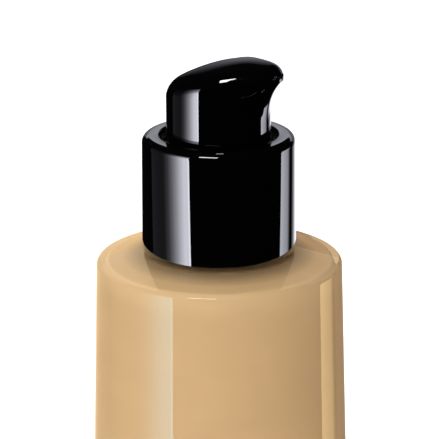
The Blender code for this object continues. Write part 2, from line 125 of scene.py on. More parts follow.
class BottleSizes(bpy.types.PropertyGroup):
    """The glass and what it holds."""

    body_height: length("Body height", "From the table to the rim of the shoulder", 60.0)
    shoulder_radius: length("Shoulder radius", "Outer radius at the rim of the shoulder", 17.8)
    wall_taper: FloatProperty(
        name="Wall taper",
        description="How far the wall moves out for each unit of height down",
        default=0.026,
    )
    glass_wall: length("Glass wall", "Thickness of the side at the shoulder", 1.6)
    foot_wall: length("Foot wall", "Thickness of the side at the inner floor", 4.0)
    glass_base: length("Glass base", "Height of the inner floor", 12.0)
    rim_round: length("Rim round", "Radius of the rim of the shoulder", 0.8)
    shoulder_glass: length("Shoulder glass", "Thickness of the shoulder", 0.9)
    inner_round: length("Inner round", "Radius of the corner under the shoulder", 0.6)
    floor_round: length("Floor round", "Radius of the corner above the base", 2.0)
    neck_radius: length("Neck radius", "Outer radius of the screw neck", 7.9)
    neck_bore: length("Neck bore", "Inner radius of the neck", 5.25)
    neck_top: length("Neck top", "Height of the sealing face", 70.46)
    thread_pitch: length("Thread pitch", "Rise of the thread in one turn", 3.0)
    steps: IntProperty(
        name="Steps", description="Flats round a turned glass piece", default=192, min=48
    )


class PumpSizes(bpy.types.PropertyGroup):
    """The collar, the head and the spring."""

    collar_round: length("Collar round", "Radius of the collar's top edge", 1.09)
    collar_draft: length("Collar draft", "How much narrower the collar is at its top", 0.1)
    opening_radius: length("Opening radius", "Radius of the hole that the head moves in", 8.6)
    head_radius: length("Head radius", "Radius of the head's round part", 7.5)
    head_reach: length("Head reach", "From the axis to the tip of the nozzle", 10.0)
    head_crest: length("Head crest", "Height of the finger pad over the collar", 10.87)
    head_crease: length("Head crease", "Height over the collar where the beak leaves the wall", 6.9)
    head_skirt: length("Head skirt", "How far the skirt hangs inside the collar", 0.8)
    head_round: length("Head round", "Radius of the edge of the finger pad", 1.9)
    tip_half: length("Tip half width", "Half the width of the blunt tip", 2.4)
    beak_slope: rotation("Beak slope", "Rise of the beak's underside", 41.6)
    crest_at: length("Crest at", "From the axis to where the finger pad stops rising", 4.5)
    flare: length("Flare", "Height over which the wall swells out at the sides of the beak", 1.0)
    flare_front: length("Front flare", "How much taller the swelling is under the beak", 3.6)
    flare_reach: rotation("Flare reach", "How far round from the beak the taller swelling goes", 17)
    lean: length("Lean", "How far below the crease the wall leans out under the beak", 0.5)
    mouth_height: length("Mouth height", "Middle of the slot in the tip, over the collar", 9.5)
    mouth_gap: length("Mouth gap", "Height of the slot in the tip", 0.35)
    mouth_depth: length("Mouth depth", "From the tip in to the end of the slot", 0.9)
    lip_notch: length("Lip notch", "Depth of the V between the lips", 0.5)
    nozzle_radius: length("Nozzle radius", "Outer radius of the nozzle tube", 0.75)
    nozzle_bore: length("Nozzle bore", "Inner radius of the nozzle tube", 0.4)
    nozzle_length: length("Nozzle length", "Length of the nozzle tube", 5.4)
    nozzle_slope: rotation("Nozzle slope", "Rise of the nozzle tube", 20.8)
    spring_radius: length("Spring radius", "Middle of the wire from the axis", 2.95)
    wire_radius: length("Wire radius", "Half the thickness of the spring's wire", 0.25)
    spring_turns: IntProperty(name="Spring turns", description="Turns of wire", default=7)


class Finishes(bpy.types.PropertyGroup):
    """Colours of the finishes."""

    liquid: colour("Liquid", "The foundation", "#E7C595")
    black: colour("Black", "The glossy mouldings", "#020203")
    natural: colour("Natural", "The unpigmented mouldings", "#E6E6E0")
    rubber: colour("Rubber", "The seals", "#55565A")
    steel: colour("Steel", "The spring and the ball", "#C4C6C8")
    label: colour("Label", "The blank film in the base", "#EFEEE9")


class StudioSettings(bpy.types.PropertyGroup):
    """Camera and light."""

    turn: rotation("Turn", "Camera's turn round the bottle", 25)
    rise: rotation("Rise", "Camera's angle over level", 17.33)
    roll: FloatProperty(name="Roll", description="Camera's roll", default=-0.005, unit="ROTATION")
    distance: length("Distance", "From the camera to its target", 410.0)
    target_height: length("Target height", "Height the camera looks at", 65.75)
    target_side: length("Target side", "How far right of the axis the camera looks", 0.06)
    focal: FloatProperty(
        name="Focal length", description="Millimetres on a 36 mm sensor", default=232.8
    )
    ambience: FloatProperty(
        name="Ambience", description="Soft light from the bright side of the room", default=1.44
    )


# ------------------------------------------------------------------------------------ modelling


def start(name, maker, **settings):
    """Adds a primitive, named, with nothing else selected, and leaves it in edit mode."""
    if bpy.context.object and bpy.context.object.mode != "OBJECT":
        bpy.ops.object.mode_set(mode="OBJECT")
    bpy.ops.object.select_all(action="DESELECT")
    maker(**settings)
    made = bpy.context.object
    made.name = made.data.name = name
    bpy.ops.object.transform_apply(location=True, rotation=True, scale=True)
    bpy.ops.object.mode_set(mode="EDIT")
    return made


def close_up(made, crease=30):
    """Merges doubles, turns the faces outwards, leaves edit mode and shades smooth up to a crease."""
    bpy.ops.mesh.select_all(action="SELECT")
    bpy.ops.mesh.remove_doubles(threshold=1e-6)
    bpy.ops.mesh.normals_make_consistent(inside=False)
    bpy.ops.object.mode_set(mode="OBJECT")
    bpy.ops.object.shade_smooth_by_angle(angle=math.radians(crease))
    return made


def arc(centre, radius, start_at, end_at, steps=12):
    """Points on a circle in the (radius, height) plane, between two angles in degrees."""
    angles = [math.radians(start_at + (end_at - start_at) * i / steps) for i in range(steps + 1)]
    return [(centre[0] + radius * math.cos(a), centre[1] + radius * math.sin(a)) for a in angles]


def turn(name, outline, steps, closed=False):
    """A turned piece: a point is drawn along the outline of (radius, height) and spun round."""
    radius, height = outline[0]
    made = start(name, bpy.ops.mesh.primitive_plane_add, size=MM, location=(radius, 0, height))
    bpy.ops.mesh.merge(type="CENTER")
    for (r0, z0), (r1, z1) in zip(outline, outline[1:]):
        step = (r1 - r0, 0, z1 - z0)
        bpy.ops.mesh.extrude_region_move(TRANSFORM_OT_translate={"value": step})
    if closed:
        bm = bmesh.from_edit_mesh(made.data)
        for v in bm.verts:
            v.select = len(v.link_edges) == 1
        bm.select_flush_mode()
        bmesh.update_edit_mesh(made.data)
        bpy.ops.mesh.edge_face_add()
    bpy.ops.mesh.select_all(action="SELECT")
    bpy.ops.mesh.spin(steps=steps, angle=math.tau, center=AXIS, axis=UP, use_auto_merge=True)
    return close_up(made)


def loft(name, rings, steps):
    """A piece drawn up from a circle: each ring is a function from an angle to a point."""
    made = start(name, bpy.ops.mesh.primitive_circle_add, vertices=steps, radius=10 * MM)
    bpy.ops.mesh.select_all(action="SELECT")
    for i, ring in enumerate(rings):
        if i:
            bpy.ops.mesh.extrude_region_move()
        bm = bmesh.from_edit_mesh(made.data)
        for v in bm.verts:
            if v.select:
                v.co = ring(math.atan2(v.co.y, v.co.x))
        bmesh.update_edit_mesh(made.data)
    bpy.ops.mesh.edge_face_add()
    bpy.ops.mesh.poke()
    bm = bmesh.from_edit_mesh(made.data)
    low = rings[0](0).z
    for e in bm.edges:
        e.select = e.is_boundary and max(v.co.z for v in e.verts) < low + 1e-6
    bmesh.update_edit_mesh(made.data)
    bpy.ops.mesh.edge_face_add()
    bpy.ops.mesh.poke()
    return close_up(made)


def rod(name, radius, begin, end, steps=48):
    """A round bar between two points."""
    begin, end = Vector(begin), Vector(end)
    made = start(
        name,
        bpy.ops.mesh.primitive_cylinder_add,
        vertices=steps,
        radius=radius,
        depth=(end - begin).length,
        location=(begin + end) / 2,
        rotation=UP.rotation_difference(end - begin).to_euler(),
    )
    return close_up(made)


def ridge(name, root, crest, top, pitch, turns=1.1, steps=96):
    """A right-hand thread ridge that winds down from a height and fades at both ends."""
    half_root, half_crest = 0.75 * MM, 0.35 * MM
    fade, least = steps // 8, 0.06  # the ends are never quite flat, so that the ridge stays closed
    total = round(steps * turns)
    made = start(name, bpy.ops.mesh.primitive_plane_add, size=MM)
    bpy.ops.mesh.select_all(action="SELECT")
    for i in range(total + 1):
        if i:
            bpy.ops.mesh.extrude_region_move()
        share = min(1.0, i / fade, (total - i) / fade)
        share = least + (1 - least) * share * share * (3 - 2 * share)
        reach = root + (crest - root) * share
        a, height = -math.tau * i / steps, top - pitch * i / steps
        corners = [(root, half_root), (reach, half_crest)]
        corners += [(reach, -half_crest), (root, -half_root)]
        bm = bmesh.from_edit_mesh(made.data)
        face = next(f for f in bm.faces if f.select)
        for loop, (r, dz) in zip(face.loops, corners):
            loop.vert.co = (r * math.cos(a), r * math.sin(a), height + dz)
        bmesh.update_edit_mesh(made.data)
    return close_up(made, 50)


def combine(made, tool, operation="DIFFERENCE"):
    """Cuts a tool out of a piece or joins it on, then removes the tool."""
    bpy.ops.object.select_all(action="DESELECT")
    made.select_set(True)
    bpy.context.view_layer.objects.active = made
    cut = made.modifiers.new("cut", "BOOLEAN")
    cut.operation, cut.solver, cut.object = operation, "EXACT", tool
    bpy.ops.object.modifier_apply(modifier=cut.name)
    bpy.data.objects.remove(tool)
    bpy.ops.object.shade_smooth_by_angle(angle=math.radians(30))


def ready(made, body, slot, finish, *nodes):
    """Gives a piece its finish, its body and the CAD nodes that it stands for. The slot is not used."""
    if not made.data.polygons:
        raise RuntimeError(f"{made.name} has no faces")
    made.data.materials.clear()
    made.data.materials.append(finish)
    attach(made, body)
    if nodes:
        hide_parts(*nodes)


# ------------------------------------------------------------------------------------ finishes


def add(tree, kind, links=(), **settings):
    """Adds a node. Settings are its properties; links are (socket, value or output socket) pairs."""
    node = tree.nodes.new(kind)
    for key, value in settings.items():
        setattr(node, key, value)
    for socket, value in links:
        if isinstance(value, bpy.types.NodeSocket):
            tree.links.new(value, node.inputs[socket])
        else:
            node.inputs[socket].default_value = value
    return node


def blank(name):
    """An empty node material and its tree, with a Principled shader linked to the output."""
    made = bpy.data.materials.new(name)
    made.use_nodes = True
    made.node_tree.nodes.clear()
    shader = add(made.node_tree, "ShaderNodeBsdfPrincipled")
    add(made.node_tree, "ShaderNodeOutputMaterial", [("Surface", shader.outputs[0])])
    return made, made.node_tree, shader


def grain(tree, size, detail=2.0, stretch=(1, 1, 1)):
    """A soft random pattern whose features are about this many metres across."""
    place = add(tree, "ShaderNodeTexCoord")
    scaled = [("Vector", place.outputs["Object"]), ("Scale", stretch)]
    placed = add(tree, "ShaderNodeMapping", scaled).outputs[0]
    settings = [("Vector", placed), ("Scale", 1 / size), ("Detail", detail), ("Roughness", 0.5)]
    return add(tree, "ShaderNodeTexNoise", settings).outputs[0]


def roughened(tree, shader, pattern, low, high):
    """Takes the surface's roughness from low to high with a pattern."""
    ends = [("Value", pattern), *MIDDLE, ("To Min", low), ("To Max", high)]
    rough = add(tree, "ShaderNodeMapRange", ends)
    tree.links.new(rough.outputs[0], shader.inputs["Roughness"])


def mottled(tree, colour, shade, pattern):
    """A colour that drifts with a pattern between a darker share of itself and itself."""
    dark = [shade * c for c in colour]
    share = add(tree, "ShaderNodeMapRange", [("Value", pattern), *MIDDLE]).outputs[0]
    ends = [("Factor", share), (6, (*dark, 1)), (7, (*colour, 1))]
    return add(tree, "ShaderNodeMix", ends, data_type="RGBA").outputs[2]


def raised(tree, shader, pattern, depth):
    """Raises the surface with a pattern, depth metres high."""
    height = add(tree, "ShaderNodeBump", [("Height", pattern), ("Distance", depth)])
    tree.links.new(height.outputs[0], shader.inputs["Normal"])


def flint_glass():
    """Blown flint glass, fire polished: clear and very smooth, with a slow wave from the mould."""
    made, tree, shader = blank("flint_glass_fire_polished")
    shader.inputs["Base Color"].default_value = (1, 1, 1, 1)
    shader.inputs["Transmission Weight"].default_value = 1.0
    shader.inputs["IOR"].default_value = 1.52
    shader.inputs["Roughness"].default_value = 0.0
    shader.inputs["Specular Tint"].default_value = (0.7, 0.7, 0.7, 1)
    raised(tree, shader, grain(tree, 9 * MM, 1.0), 0.006 * MM)
    return made


def foundation(colour):
    """Pigment in an oil and water emulsion: opaque, with slow drifts where the pigment has settled, and
    a painted shade towards the collar.
    """
    made, tree, shader = blank("foundation_emulsion")
    drift = mottled(tree, colour, 0.965, grain(tree, 14 * MM, 3.0, (1, 1, 2.2)))
    # painted shade: it grows darker towards the collar, on top of the shade that the collar throws on
    # it
    shade, dark_to, full_from = 0.58, 11.4 * MM, 14.0 * MM
    place = add(tree, "ShaderNodeTexCoord").outputs["Object"]
    across = [(0, place), (1, (1, 1, 0))]
    flat = add(tree, "ShaderNodeVectorMath", across, operation="MULTIPLY").outputs[0]
    radius = add(tree, "ShaderNodeVectorMath", [(0, flat)], operation="LENGTH").outputs["Value"]
    ends = [("From Min", dark_to), ("From Max", full_from), ("To Min", shade)]
    near = add(tree, "ShaderNodeMapRange", [("Value", radius), *ends]).outputs[0]
    parts = [("Factor", 1.0), (6, drift), (7, near)]
    with_painted_shade = add(tree, "ShaderNodeMix", parts, data_type="RGBA", blend_type="MULTIPLY")
    tree.links.new(with_painted_shade.outputs[2], shader.inputs["Base Color"])
    shader.inputs["Roughness"].default_value = 0.55
    shader.inputs["IOR"].default_value = 1.4
    shader.inputs["Specular IOR Level"].default_value = 0.05
    return made


def gloss_black(colour):
    """ABS moulded in a polished tool and lacquered: near black and mirror smooth, with a trace
    of orange peel."""
    made, tree, shader = blank("abs_lacquered_black")
    shader.inputs["Base Color"].default_value = (*colour, 1)
    shader.inputs["IOR"].default_value = 1.54
    shader.inputs["Coat Weight"].default_value = 1.0
    shader.inputs["Coat IOR"].default_value = 1.6
    shader.inputs["Coat Roughness"].default_value = 0.03
    roughened(tree, shader, grain(tree, 3 * MM), 0.03, 0.055)
    raised(tree, shader, grain(tree, 1.6 * MM, 1.0), 0.0009 * MM)
    return made


def natural_polypropylene(colour):
    """Unpigmented polypropylene, moulded in a plain tool: milky, waxy and a little translucent."""
    made, tree, shader = blank("polypropylene_natural_moulded")
    cloud = mottled(tree, colour, 0.93, grain(tree, 5 * MM, 3.0))
    tree.links.new(cloud, shader.inputs["Base Color"])
    shader.inputs["IOR"].default_value = 1.49
    shader.inputs["Subsurface Weight"].default_value = 0.25
    shader.inputs["Subsurface Radius"].default_value = (1.2 * MM, 1.1 * MM, 1.0 * MM)
    shader.inputs["Subsurface Scale"].default_value = 1.0
    roughened(tree, shader, grain(tree, 0.8 * MM), 0.32, 0.46)
    raised(tree, shader, grain(tree, 0.25 * MM), 0.004 * MM)
    return made


def sealing_rubber(colour):
    """Grey nitrile rubber, punched from sheet: matt, with a fine grain from its talc."""
    made, tree, shader = blank("nitrile_rubber_sheet")
    talc = mottled(tree, colour, 0.75, grain(tree, 0.3 * MM, 4.0))
    tree.links.new(talc, shader.inputs["Base Color"])
    shader.inputs["IOR"].default_value = 1.52
    shader.inputs["Roughness"].default_value = 0.78
    raised(tree, shader, grain(tree, 0.2 * MM, 3.0), 0.01 * MM)
    return made


def drawn_steel(colour):
    """Stainless steel wire, drawn and wound: bright, with fine marks from the die."""
    made, tree, shader = blank("stainless_steel_drawn")
    shader.inputs["Base Color"].default_value = (*colour, 1)
    shader.inputs["Metallic"].default_value = 1.0
    drawn = (1, 1, 6)  # squeezed in height, so that the marks run along the wire
    roughened(tree, shader, grain(tree, 0.4 * MM, 3.0, drawn), 0.18, 0.32)
    raised(tree, shader, grain(tree, 0.1 * MM, 2.0, drawn), 0.002 * MM)
    return made


def label_film(colour):
    """White polypropylene film with a matt varnish: flat and faintly fibrous."""
    made, tree, shader = blank("polypropylene_film_matt")
    fibre = mottled(tree, colour, 0.95, grain(tree, 0.5 * MM, 4.0))
    tree.links.new(fibre, shader.inputs["Base Color"])
    shader.inputs["Roughness"].default_value = 0.6
    raised(tree, shader, grain(tree, 0.3 * MM, 3.0), 0.005 * MM)
    return made


def studio_paper():
    """Matt white background paper: a faint fibre, no gloss and a little light of its own."""
    made, tree, shader = blank("studio_paper")
    fibre = mottled(tree, (0.9, 0.9, 0.9), 0.86 / 0.9, grain(tree, 1.2 * MM))
    tree.links.new(fibre, shader.inputs["Base Color"])
    shader.inputs["Roughness"].default_value = 0.9
    shader.inputs["Specular IOR Level"].default_value = 0.0
    shader.inputs["Emission Color"].default_value = (1, 1, 1, 1)
    shader.inputs["Emission Strength"].default_value = 0.4
    return made


# ------------------------------------------------------------------------------------ pieces


def wall_radius(sizes, height):
    """The outer radius of the glass at a height."""
    return sizes.shoulder_radius + sizes.wall_taper * (sizes.body_height - height)


def shoulder_height(sizes, radius):
    """The height of the shoulder's outside, which rises evenly from the rim in to the neck."""
    rim = sizes.shoulder_radius - sizes.rim_round
    rise = (SHOULDER_TOP - sizes.body_height) / (rim - COLLAR_OUT)
    return sizes.body_height + rise * (rim - radius)


def inner_outline(sizes, gap=0.0):
    """The glass's inner surface from the neck's bore to the middle of the floor, moved out by a gap."""
    floor = sizes.glass_base - gap
    upper, lower = sizes.inner_round, sizes.floor_round
    high = wall_radius(sizes, sizes.body_height) - sizes.glass_wall + gap
    low = wall_radius(sizes, floor) - sizes.foot_wall + gap
    roof = shoulder_height(sizes, high - upper) - sizes.shoulder_glass + gap
    bore = shoulder_height(sizes, sizes.neck_bore + 0.2 * MM) - sizes.shoulder_glass + gap
    outline = [(sizes.neck_bore, bore)] + arc((high - upper, roof - upper), upper, 79, 0)
    return outline + arc((low - lower, floor + lower), lower, 0, -90)


class FOUNDATION_OT_glass(bpy.types.Operator):
    """Turns the glass bottle with its shoulder, screw neck and hollow base"""

    bl_idname = "foundation.glass"
    bl_label = "Glass bottle"

    def execute(self, context):
        s = context.scene.bottle_sizes
        heel, ring, slope, push_up = 1.4 * MM, 1.6 * MM, 2.6 * MM, 0.9 * MM
        soft, root, lip, chamfer = 0.8 * MM, 0.6 * MM, 0.4 * MM, 0.3 * MM
        foot = wall_radius(s, 0) - heel
        hollow, rim = foot - ring - slope, s.shoulder_radius - s.rim_round
        # from the middle of the hollow base, over the standing ring, up the wall and the neck
        outline = [(0, push_up), (hollow, push_up)]
        outline += arc((hollow, push_up - soft), soft, 90, 50, 5)
        outline += arc((foot - ring, soft), soft, 230, 270, 5)
        outline += arc((foot, heel), heel, -90, 0, 14)
        outline += arc((rim, s.body_height - s.rim_round), s.rim_round, 0, 78, 14)
        outline += [(COLLAR_OUT, SHOULDER_TOP)]
        outline += arc((s.neck_radius + root, SHOULDER_TOP + root * 4 / 3), root, 270, 180, 8)
        outline += arc((s.neck_radius - lip, s.neck_top - lip), lip, 0, 90, 6)
        outline += [(s.neck_bore + chamfer, s.neck_top), (s.neck_bore, s.neck_top - chamfer)]
        outline += inner_outline(s) + [(0, s.glass_base)]
        bottle = turn("glass_bottle_body", outline, s.steps)
        sunk, crest, thread_top = s.neck_radius - 0.3 * MM, 8.9 * MM, s.neck_top - 1.9 * MM
        combine(bottle, ridge("neck_thread", sunk, crest, thread_top, s.thread_pitch), "UNION")
        bottle.visible_glossy = False  # the black mouldings mirror the room, not the bottle
        ready(bottle, "bottle", "clear_glass", flint_glass(), "glass_bottle")
        return {"FINISHED"}


class FOUNDATION_OT_liquid(bpy.types.Operator):
    """Fills the glass up to the neck, round the pump's barrel and its dip tube"""

    bl_idname = "foundation.liquid"
    bl_label = "Liquid"

    def execute(self, context):
        s = context.scene.bottle_sizes
        into_glass = 0.02 * MM  # no air shows between the liquid and the glass
        tube, tube_end = 1.8 * MM, s.glass_base + 1.5 * MM
        socket, socket_low, socket_high = 2.9 * MM, 44.2 * MM, 48.0 * MM
        barrel, barrel_low = 5.1 * MM, 50.7 * MM
        inside = inner_outline(s, into_glass)
        outline = [(0, tube_end), (tube, tube_end), (tube, socket_low), (socket, socket_low)]
        outline += [(socket, socket_high), (barrel, barrel_low), (barrel, inside[0][1])]
        outline += inside + [(0, s.glass_base - into_glass)]
        made = turn("foundation_liquid", outline, s.steps)
        finish = foundation(context.scene.finishes.liquid)
        ready(made, "bottle", "liquid_foundation", finish, "foundation_fill")
        return {"FINISHED"}


class FOUNDATION_OT_label(bpy.types.Operator):
    """Sticks a blank round label in the hollow of the base"""

    bl_idname = "foundation.label"
    bl_label = "Base label"

    def execute(self, context):
        low, high, radius, edge = LABEL_LOW[2], LABEL_HIGH[2], LABEL_HIGH[0], 0.05 * MM
        outline = [(0, low), (radius - edge, low), (radius, low + edge), (radius, high - edge)]
        outline += [(radius - edge, high), (0, high)]
        made = turn("base_label_film", outline, 96)
        finish = label_film(context.scene.finishes.label)
        ready(made, "bottle", "blank_label", finish, "base_label")
        return {"FINISHED"}


class FOUNDATION_OT_collar(bpy.types.Operator):
    """Turns the glossy outer collar with its rounded top edge and the sleeve round the opening"""

    bl_idname = "foundation.collar"
    bl_label = "Collar"

    def execute(self, context):
        s = context.scene.pump_sizes
        wall, plate, edge = 0.8 * MM, 1.3 * MM, 0.15 * MM
        sleeve, sleeve_length = 0.65 * MM, 4.1 * MM
        inner, under = COLLAR_OUT - wall, COLLAR_HIGH - plate
        sleeve_low, sleeve_out = COLLAR_HIGH - sleeve_length, s.opening_radius + sleeve
        shoulder = COLLAR_OUT - s.collar_draft - s.collar_round
        outline = arc((COLLAR_OUT - edge, COLLAR_LOW + edge), edge, -90, 0, 4)
        outline += arc((shoulder, COLLAR_HIGH - s.collar_round), s.collar_round, 0, 90, 18)
        outline += arc((s.opening_radius + edge, COLLAR_HIGH - edge), edge, 90, 180, 8)
        outline += arc((s.opening_radius + edge, sleeve_low + edge), edge, 180, 270, 4)
        outline += [(sleeve_out, sleeve_low), (sleeve_out, under), (inner, under)]
        outline += [(inner, COLLAR_LOW)]
        made = turn("collar_moulding", outline, 192, closed=True)
        finish = bpy.data.materials["abs_lacquered_black"]
        ready(made, "closure", "gloss_black", finish, "collar_shroud")
        return {"FINISHED"}


def head_reach(s, angle):
    """The head's outline from above: a circle, with straight flanks that meet a blunt tip at +X."""
    half_tip = math.atan2(s.tip_half, s.head_reach)
    near_tip, sharpness = half_tip + 0.5, 8  # the corner of the tip is blended within this angle
    tangent = half_tip + math.acos(s.head_radius / math.hypot(s.head_reach, s.tip_half))
    angle = abs(angle)
    if angle >= tangent:
        return s.head_radius
    flank = s.head_radius / math.cos(tangent - angle)
    if angle > near_tip:
        return flank
    tip = s.head_reach / math.cos(angle)
    return (flank**-sharpness + tip**-sharpness) ** (-1 / sharpness)


def pad_height(s, x, y):
    """The finger pad rises from the back to its crest, then runs level, and is crowned across."""
    fall, crown = 25.3, 12.0  # the drop, per metre, with the square of the way from the crest
    behind = max(0.0, s.crest_at - x)
    return COLLAR_HIGH + s.head_crest - fall * behind**2 - crown * y**2


def head_rings(s):
    """Rings of the head's outside, from the skirt up the wall, over the beak and across the pad."""
    skirt, crease = COLLAR_HIGH - s.head_skirt, COLLAR_HIGH + s.head_crease
    edge, under_pad, knee_under_pad = 0.12 * MM, 0.2 * MM, 0.4 * MM
    wall_rings, side_rings, edge_rings, pad_rings = 8, 16, 18, 14

    def point(angle, reach, height):
        return Vector((reach * math.cos(angle), reach * math.sin(angle), height))

    def rounded(angle, turned):
        reach = head_reach(s, angle) - s.head_round * (1 - math.cos(turned))
        x, y = reach * math.cos(angle), reach * math.sin(angle)
        return point(angle, reach, pad_height(s, x, y) - s.head_round * (1 - math.sin(turned)))

    def front(angle):
        return math.exp(-((angle / s.flare_reach) ** 2))

    def flare(angle):
        return s.flare + s.flare_front * front(angle)

    def wall(angle, share):
        """From the skirt up to the foot of the flare."""
        low = skirt + edge
        return point(angle, s.head_radius, low + (crease - flare(angle) - low) * share)

    def side(angle, share):
        """From the foot of the flare to the pad: the wall swells, then runs up the beak's slope."""
        out, top = head_reach(s, angle), rounded(angle, 0).z
        under = min(crease + (out - s.head_radius) * math.tan(s.beak_slope), top - under_pad)
        knee = min(crease - s.lean * front(angle), top - knee_under_pad)
        # a smooth curve from the foot of the flare, past the knee, to the edge of the underside
        a = Vector((s.head_radius, crease - flare(angle)))
        b, c = Vector((s.head_radius, knee)), Vector((out, under))
        here = a * (1 - share) ** 2 + b * 2 * share * (1 - share) + c * share**2
        return point(angle, here.x, here.y)

    def across(angle, share):
        """Over the pad, from its rounded edge to its middle."""
        reach = (head_reach(s, angle) - s.head_round) * share
        x, y = reach * math.cos(angle), reach * math.sin(angle)
        return point(angle, reach, pad_height(s, x, y))

    rings = [
        lambda a: point(a, s.head_radius - edge, skirt),
        lambda a: point(a, s.head_radius, skirt + edge),
    ]
    rings += [lambda a, k=k: wall(a, k / wall_rings) for k in range(1, wall_rings)]
    rings += [lambda a, k=k: side(a, k / side_rings) for k in range(side_rings + 1)]
    rings += [lambda a, k=k: rounded(a, math.pi / 2 * k / edge_rings) for k in range(edge_rings + 1)]
    rings += [lambda a, k=k: across(a, 1 - k / pad_rings) for k in range(1, pad_rings)]
    return rings


def mouth_of(s):
    """The inner end of the slot in the tip, and the direction of the tube that leads to it."""
    mouth = Vector((s.head_reach - s.mouth_depth, 0, COLLAR_HIGH + s.mouth_height))
    return mouth, Vector((math.cos(s.nozzle_slope), 0, math.sin(s.nozzle_slope)))


class FOUNDATION_OT_head(bpy.types.Operator):
    """Draws up the glossy head, hollows it and cuts the slot in its tip"""

    bl_idname = "foundation.head"
    bl_label = "Head"

    def execute(self, context):
        s = context.scene.pump_sizes
        made = loft("actuator_moulding", head_rings(s), 180)
        # a stepped room for the core of the head and the top of the stem
        room, below, roof = s.head_radius - 1.0 * MM, COLLAR_HIGH - 3.0 * MM, COLLAR_HIGH + 5.9 * MM
        boss, boss_roof = 2.9 * MM, COLLAR_HIGH + 7.9 * MM
        outline = [(0, below), (room, below), (room, roof), (boss, roof), (boss, boss_roof)]
        outline += [(0, boss_roof)]
        combine(made, turn("cavity", outline, 96))
        mouth, way = mouth_of(s)
        clearance, passage, past = 0.2 * MM, 7.5 * MM, 0.1 * MM
        ends = mouth - way * passage, mouth + way * past
        combine(made, rod("passage", s.nozzle_radius + clearance, *ends))
        half = 2 * MM  # half the depth of both tools that cut the mouth
        slot = start("slot", bpy.ops.mesh.primitive_cube_add, size=1.0)
        bpy.ops.mesh.select_all(action="SELECT")
        size = (2 * half, 4 * s.tip_half, s.mouth_gap)
        bpy.ops.transform.resize(value=size, center_override=AXIS)
        bpy.ops.transform.translate(value=mouth + Vector((half, 0, 0)))
        combine(made, close_up(slot))
        # a square bar turned onto its edge
        bar = {"vertices": 4, "radius": half, "depth": 4 * s.tip_half}
        notch = start("notch", bpy.ops.mesh.primitive_cylinder_add, **bar)
        bpy.ops.mesh.select_all(action="SELECT")
        bpy.ops.transform.rotate(value=math.pi / 2, orient_axis="X", center_override=AXIS)
        lips = Vector((s.head_reach - s.lip_notch + half, 0, COLLAR_HIGH + s.mouth_height))
        bpy.ops.transform.translate(value=lips)
        combine(made, close_up(notch))
        finish = bpy.data.materials["abs_lacquered_black"]
        ready(made, "actuator", "gloss_black", finish, "actuator_shell")
        return {"FINISHED"}


class FOUNDATION_OT_nozzle(bpy.types.Operator):
    """Makes the tube that leads to the mouth"""

    bl_idname = "foundation.nozzle"
    bl_label = "Nozzle tube"

    def execute(self, context):
        s = context.scene.pump_sizes
        tube, edge, short_of_slot = s.nozzle_length, 0.08 * MM, 0.3 * MM
        outer, bore = s.nozzle_radius, s.nozzle_bore
        outline = [(bore + edge, 0), (outer - edge, 0), (outer, edge), (outer, tube - edge)]
        outline += [(outer - edge, tube), (bore + edge, tube), (bore, tube - edge), (bore, edge)]
        made = turn("nozzle_tube_moulding", outline, 64, closed=True)
        mouth, way = mouth_of(s)
        place = Matrix.Translation(mouth - way * (tube + short_of_slot))
        made.matrix_world = place @ UP.rotation_difference(way).to_matrix().to_4x4()
        bpy.ops.object.transform_apply(location=True, rotation=True, scale=True)
        finish = bpy.data.materials["polypropylene_natural_moulded"]
        ready(made, "actuator", "natural_plastic", finish, "nozzle_tube")
        return {"FINISHED"}


class FOUNDATION_OT_spring(bpy.types.Operator):
    """Winds the return spring, which shortens as the head is pressed"""

    bl_idname = "foundation.spring"
    bl_label = "Return spring"

    def execute(self, context):
        s = context.scene.pump_sizes
        low, high = 53.1 * MM, 62.85 * MM  # from the ball cage up to the poppet
        steps, sides = 40, 12
        wire, total = s.wire_radius, s.spring_turns * steps
        circle = {"vertices": sides, "radius": wire}
        made = start("return_spring_wire", bpy.ops.mesh.primitive_circle_add, **circle)
        bpy.ops.mesh.select_all(action="SELECT")
        bpy.ops.mesh.edge_face_add()
        for i in range(total + 1):
            if i:
                bpy.ops.mesh.extrude_region_move()
            turned = math.tau * i / steps
            height = low + wire + (high - low - 2 * wire) * i / total
            bm = bmesh.from_edit_mesh(made.data)
            face = next(f for f in bm.faces if f.select)
            for k, loop in enumerate(face.loops):
                a = math.tau * k / sides
                r, z = s.spring_radius + wire * math.cos(a), height + wire * math.sin(a)
                loop.vert.co = (r * math.cos(turned), r * math.sin(turned), z)
            bmesh.update_edit_mesh(made.data)
        close_up(made, 60)
        finish = bpy.data.materials["stainless_steel_drawn"]
        ready(made, "pump", "spring_steel", finish, "return_spring")
        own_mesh(made)
        return {"FINISHED"}


class FOUNDATION_OT_finishes(bpy.types.Operator):
    """Makes the finishes and gives them to the pieces that keep their first shape"""

    bl_idname = "foundation.finishes"
    bl_label = "Finishes"

    def execute(self, context):
        f = context.scene.finishes
        gloss_black(f.black)
        natural = natural_polypropylene(f.natural)
        rubber = sealing_rubber(f.rubber)
        steel = drawn_steel(f.steel)
        kept = {"neck_gasket": rubber, "stem_gasket": rubber, "inlet_ball": steel}
        kept |= dict.fromkeys(NATURAL_PIECES, natural)
        for name, finish in kept.items():
            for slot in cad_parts[name].material_slots:
                slot.material = finish
        return {"FINISHED"}


# ------------------------------------------------------------------------------------ studio


def way_to(turn, rise):
    """The direction from the axis to what stands at a turn round it and a rise over level."""
    level = math.cos(rise)
    return Vector((math.sin(turn) * level, -math.cos(turn) * level, math.sin(rise)))


def aim(obj, place, target, roll=0.0):
    """Puts a light or a camera at a place, looking at a target."""
    look = (place - target).to_track_quat("Z", "Y").to_matrix().to_4x4()
    obj.matrix_world = Matrix.Translation(place) @ look @ Matrix.Rotation(roll, 4, "Z")


